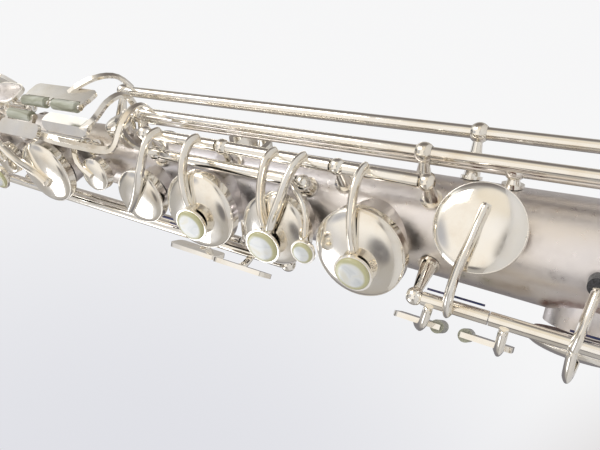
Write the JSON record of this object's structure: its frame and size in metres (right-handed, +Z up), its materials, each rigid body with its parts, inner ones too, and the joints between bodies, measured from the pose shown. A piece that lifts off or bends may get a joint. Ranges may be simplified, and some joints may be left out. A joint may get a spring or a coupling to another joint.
{
  "type": "soprano saxophone",
  "caption": "Straight soprano saxophone with satin body, polished keywork, pearl touches, open-standing and closed keys on rods and posts, and a mouthpiece.",
  "frame": {"origin": "centre of the plane of the bell rim, which the horn stands on", "axes": "+Z up the horn towards the mouthpiece, -Y the main row of finger keys, +X the player's left"},
  "size_m": [0.0928, 0.0928, 0.668],
  "materials": {
    "satin_silver": "satin",
    "polished_silver": "polished",
    "steel": "polished",
    "blued_steel": "blued",
    "pearl": "polished mother of pearl",
    "roller_pearl": "polished mother of pearl",
    "stack_pad": "matte",
    "brown_pad": "matte",
    "felt": "felt",
    "cork": "matte",
    "ebonite": "gloss",
    "cane": "satin"
  },
  "bodies": {
    "horn": {"body_tube": "satin_silver", "bell": "satin_silver", "bell_ferrule": "polished_silver", "neck_cork": "cork", "posts": "polished_silver", "hinge_rods": "steel", "needle_springs": "blued_steel", "key_guards": "polished_silver", "bumpers": "felt", "thumb_hook": "polished_silver", "thumb_rest": "polished_silver", "strap_ring": "polished_silver"},
    "low_bb_key": {"low_bb_key": "polished_silver", "low_bb_pad": "brown_pad"},
    "low_b_key": {"low_b_key": "polished_silver", "low_b_pad": "brown_pad"},
    "csharp_key": {"csharp_key": "polished_silver", "csharp_pad": "brown_pad"},
    "low_c_key": {"low_c_key": "polished_silver", "low_c_pad": "brown_pad"},
    "eflat_key": {"eflat_key": "polished_silver", "eflat_pad": "brown_pad"},
    "d_key": {"d_key": "polished_silver", "d_pearl": "pearl", "d_pad": "stack_pad"},
    "e_key": {"e_key": "polished_silver", "e_pearl": "pearl", "e_pad": "stack_pad"},
    "f_key": {"f_key": "polished_silver", "f_pearl": "pearl", "f_pad": "stack_pad"},
    "f_sharp_key": {"f_sharp_key": "polished_silver", "f_sharp_pad": "stack_pad"},
    "trill_key": {"trill_key": "polished_silver", "trill_pearl": "pearl"},
    "gsharp_key": {"gsharp_key": "polished_silver"},
    "g_key": {"g_key": "polished_silver", "g_pearl": "pearl", "g_pad": "stack_pad"},
    "bis_key": {"bis_key": "polished_silver"},
    "a_key": {"a_key": "polished_silver", "a_pearl": "pearl"},
    "b_key": {"b_key": "polished_silver", "b_pearl": "pearl"},
    "c_key": {"c_key": "polished_silver"},
    "side_bb_key": {"side_bb_key": "polished_silver"},
    "side_c_key": {"side_c_key": "polished_silver"},
    "palm_d_key": {"palm_d_key": "polished_silver"},
    "palm_eflat_key": {"palm_eflat_key": "polished_silver"},
    "palm_f_key": {"palm_f_key": "polished_silver"},
    "octave_lever": {"octave_lever": "polished_silver"},
    "octave_vent_key": {"octave_vent_key": "polished_silver"},
    "low_b_roller": {"low_b_roller": "roller_pearl"},
    "low_bb_roller_upper": {"low_bb_roller_upper": "roller_pearl"},
    "low_bb_roller_lower": {"low_bb_roller_lower": "roller_pearl"},
    "eflat_roller": {"eflat_roller": "roller_pearl"},
    "low_c_roller": {"low_c_roller": "roller_pearl"},
    "mouthpiece": {"mouthpiece": "ebonite", "reed": "cane", "ligature": "polished_silver"}
  },
  "joints": [
    {"name": "low_bb_key_pivot", "type": "hinge", "parent": "horn", "child": "low_bb_key", "pos_m": [0.02889, 0.01634, 0.23049], "axis": [-0.0275, -0.0156, 0.9995], "range_deg": [-7, 0], "stiffness_Nm_per_rad": 0.06, "springref_deg": 28.65},
    {"name": "low_b_key_pivot", "type": "hinge", "parent": "horn", "child": "low_b_key", "pos_m": [0.02739, 0.00048, 0.23031], "axis": [-0.0316, -0.0006, 0.9995], "range_deg": [-7, 0], "stiffness_Nm_per_rad": 0.05, "springref_deg": 28.65},
    {"name": "csharp_key_pivot", "type": "hinge", "parent": "horn", "child": "csharp_key", "pos_m": [0.02118, 0.00648, 0.26017], "axis": [-0.0302, -0.0092, 0.9995], "range_deg": [-7, 0], "stiffness_Nm_per_rad": 0.05, "springref_deg": 28.65},
    {"name": "low_c_key_pivot", "type": "hinge", "parent": "horn", "child": "low_c_key", "pos_m": [-0.00785, -0.03149, 0.19043], "axis": [0.0076, 0.0307, 0.9995], "range_deg": [-7, 0], "stiffness_Nm_per_rad": 0.04, "springref_deg": 22.92},
    {"name": "eflat_key_pivot", "type": "hinge", "parent": "horn", "child": "eflat_key", "pos_m": [-0.00758, -0.03039, 0.22643], "axis": [0.0076, 0.0307, 0.9995], "range_deg": [-8, 0], "stiffness_Nm_per_rad": 0.04, "springref_deg": 22.92},
    {"name": "d_key_pivot", "type": "hinge", "parent": "horn", "child": "d_key", "pos_m": [0.02429, -0.01346, 0.25635], "axis": [-0.0276, 0.0153, 0.9995], "range_deg": [-8, 0], "stiffness_Nm_per_rad": 0.03, "springref_deg": 22.92},
    {"name": "e_key_pivot", "type": "hinge", "parent": "horn", "child": "e_key", "pos_m": [0.02324, -0.01288, 0.29435], "axis": [-0.0276, 0.0153, 0.9995], "range_deg": [-8, 0], "stiffness_Nm_per_rad": 0.03, "springref_deg": 22.92},
    {"name": "f_key_pivot", "type": "hinge", "parent": "horn", "child": "f_key", "pos_m": [0.0223, -0.01236, 0.32835], "axis": [-0.0276, 0.0153, 0.9995], "range_deg": [-8, 0], "stiffness_Nm_per_rad": 0.03, "springref_deg": 22.92},
    {"name": "f_sharp_key_pivot", "type": "hinge", "parent": "horn", "child": "f_sharp_key", "pos_m": [0.0218, -0.01208, 0.34635], "axis": [-0.0276, 0.0153, 0.9995], "range_deg": [-8, 0], "stiffness_Nm_per_rad": 0.02, "springref_deg": 22.92},
    {"name": "trill_key_pivot", "type": "hinge", "parent": "horn", "child": "trill_key", "pos_m": [0.01493, -0.01392, 0.31818], "axis": [-0.0231, 0.0216, 0.9995], "range_deg": [-6, 0], "stiffness_Nm_per_rad": 0.02, "springref_deg": 22.92},
    {"name": "gsharp_key_pivot", "type": "hinge", "parent": "horn", "child": "gsharp_key", "pos_m": [0.01151, -0.01371, 0.41019], "axis": [-0.0203, 0.0242, 0.9995], "range_deg": [0, 9], "stiffness_Nm_per_rad": 0.03, "springref_deg": -22.92},
    {"name": "g_key_pivot", "type": "hinge", "parent": "horn", "child": "g_key", "pos_m": [0.01506, -0.01356, 0.4463], "axis": [-0.0235, 0.0211, 0.9995], "range_deg": [-8, 0], "stiffness_Nm_per_rad": 0.03, "springref_deg": 22.92},
    {"name": "bis_key_pivot", "type": "hinge", "parent": "horn", "child": "bis_key", "pos_m": [0.01485, -0.01337, 0.4553], "axis": [-0.0235, 0.0211, 0.9995], "range_deg": [-8, 0], "stiffness_Nm_per_rad": 0.02, "springref_deg": 22.92},
    {"name": "a_key_pivot", "type": "hinge", "parent": "horn", "child": "a_key", "pos_m": [0.01464, -0.01318, 0.4643], "axis": [-0.0235, 0.0211, 0.9995], "range_deg": [-8, 0], "stiffness_Nm_per_rad": 0.03, "springref_deg": 22.92},
    {"name": "b_key_pivot", "type": "hinge", "parent": "horn", "child": "b_key", "pos_m": [0.01421, -0.0128, 0.4823], "axis": [-0.0235, 0.0211, 0.9995], "range_deg": [-8, 0], "stiffness_Nm_per_rad": 0.03, "springref_deg": 22.92},
    {"name": "c_key_pivot", "type": "hinge", "parent": "horn", "child": "c_key", "pos_m": [0.01381, -0.01244, 0.4993], "axis": [-0.0235, 0.0211, 0.9995], "range_deg": [-8, 0], "stiffness_Nm_per_rad": 0.02, "springref_deg": 22.92},
    {"name": "side_bb_key_pivot", "type": "hinge", "parent": "horn", "child": "side_bb_key", "pos_m": [-0.02411, -0.00601, 0.38038], "axis": [0.0307, 0.0076, 0.9995], "range_deg": [0, 10], "stiffness_Nm_per_rad": 0.03, "springref_deg": -22.92},
    {"name": "side_c_key_pivot", "type": "hinge", "parent": "horn", "child": "side_c_key", "pos_m": [-0.02107, -0.01317, 0.38038], "axis": [0.0268, 0.0167, 0.9995], "range_deg": [0, 10], "stiffness_Nm_per_rad": 0.03, "springref_deg": -22.92},
    {"name": "palm_d_key_pivot", "type": "hinge", "parent": "horn", "child": "palm_d_key", "pos_m": [0.01703, 0.00688, 0.49028], "axis": [-0.0293, -0.0118, 0.9995], "range_deg": [0, 10], "stiffness_Nm_per_rad": 0.02, "springref_deg": -22.92},
    {"name": "palm_eflat_key_pivot", "type": "hinge", "parent": "horn", "child": "palm_eflat_key", "pos_m": [0.01349, -0.01132, 0.5303], "axis": [-0.0242, 0.0203, 0.9995], "range_deg": [0, 10], "stiffness_Nm_per_rad": 0.02, "springref_deg": -22.92},
    {"name": "palm_f_key_pivot", "type": "hinge", "parent": "horn", "child": "palm_f_key", "pos_m": [0.01483, 0.00788, 0.54028], "axis": [-0.0279, -0.0148, 0.9995], "range_deg": [0, 10], "stiffness_Nm_per_rad": 0.02, "springref_deg": -22.92},
    {"name": "octave_lever_pivot", "type": "hinge", "parent": "horn", "child": "octave_lever", "pos_m": [0.00592, 0.01466, 0.47619], "axis": [-0.0118, -0.0293, 0.9995], "range_deg": [0, 8], "stiffness_Nm_per_rad": 0.02, "springref_deg": -22.92},
    {"name": "octave_vent_key_pivot", "type": "hinge", "parent": "horn", "child": "octave_vent_key", "pos_m": [0.00521, 0.01291, 0.53619], "axis": [-0.0118, -0.0293, 0.9995], "range_deg": [0, 8], "stiffness_Nm_per_rad": 0.02, "springref_deg": -22.92},
    {"name": "low_b_roller_spin", "type": "hinge", "parent": "low_b_key", "child": "low_b_roller", "pos_m": [0.02355, -0.01913, 0.41557], "axis": [-0.0201, 0.0244, 0.9995], "continuous": true},
    {"name": "low_bb_roller_upper_spin", "type": "hinge", "parent": "low_bb_key", "child": "low_bb_roller_upper", "pos_m": [0.02766, -0.0132, 0.41156], "axis": [-0.0309, 0.0068, 0.9995], "continuous": true},
    {"name": "low_bb_roller_lower_spin", "type": "hinge", "parent": "low_bb_key", "child": "low_bb_roller_lower", "pos_m": [0.02822, -0.01332, 0.39357], "axis": [-0.0309, 0.0068, 0.9995], "continuous": true},
    {"name": "eflat_roller_spin", "type": "hinge", "parent": "eflat_key", "child": "eflat_roller", "pos_m": [-0.02471, -0.02304, 0.23081], "axis": [0.682, -0.7314, 0], "continuous": true},
    {"name": "low_c_roller_spin", "type": "hinge", "parent": "low_c_key", "child": "low_c_roller", "pos_m": [-0.02492, -0.02324, 0.22151], "axis": [0.682, -0.7314, 0], "continuous": true},
    {"name": "tuning_slide", "type": "slide", "parent": "horn", "child": "mouthpiece", "axis": [0, 0, 1], "range_m": [0, 0.006]}
  ],
  "couplings": [
    {"joint": "f_sharp_key_pivot", "follows": "f_key_pivot", "ratio": 1},
    {"joint": "c_key_pivot", "follows": "b_key_pivot", "ratio": 1},
    {"joint": "octave_vent_key_pivot", "follows": "octave_lever_pivot", "ratio": 1}
  ]
}
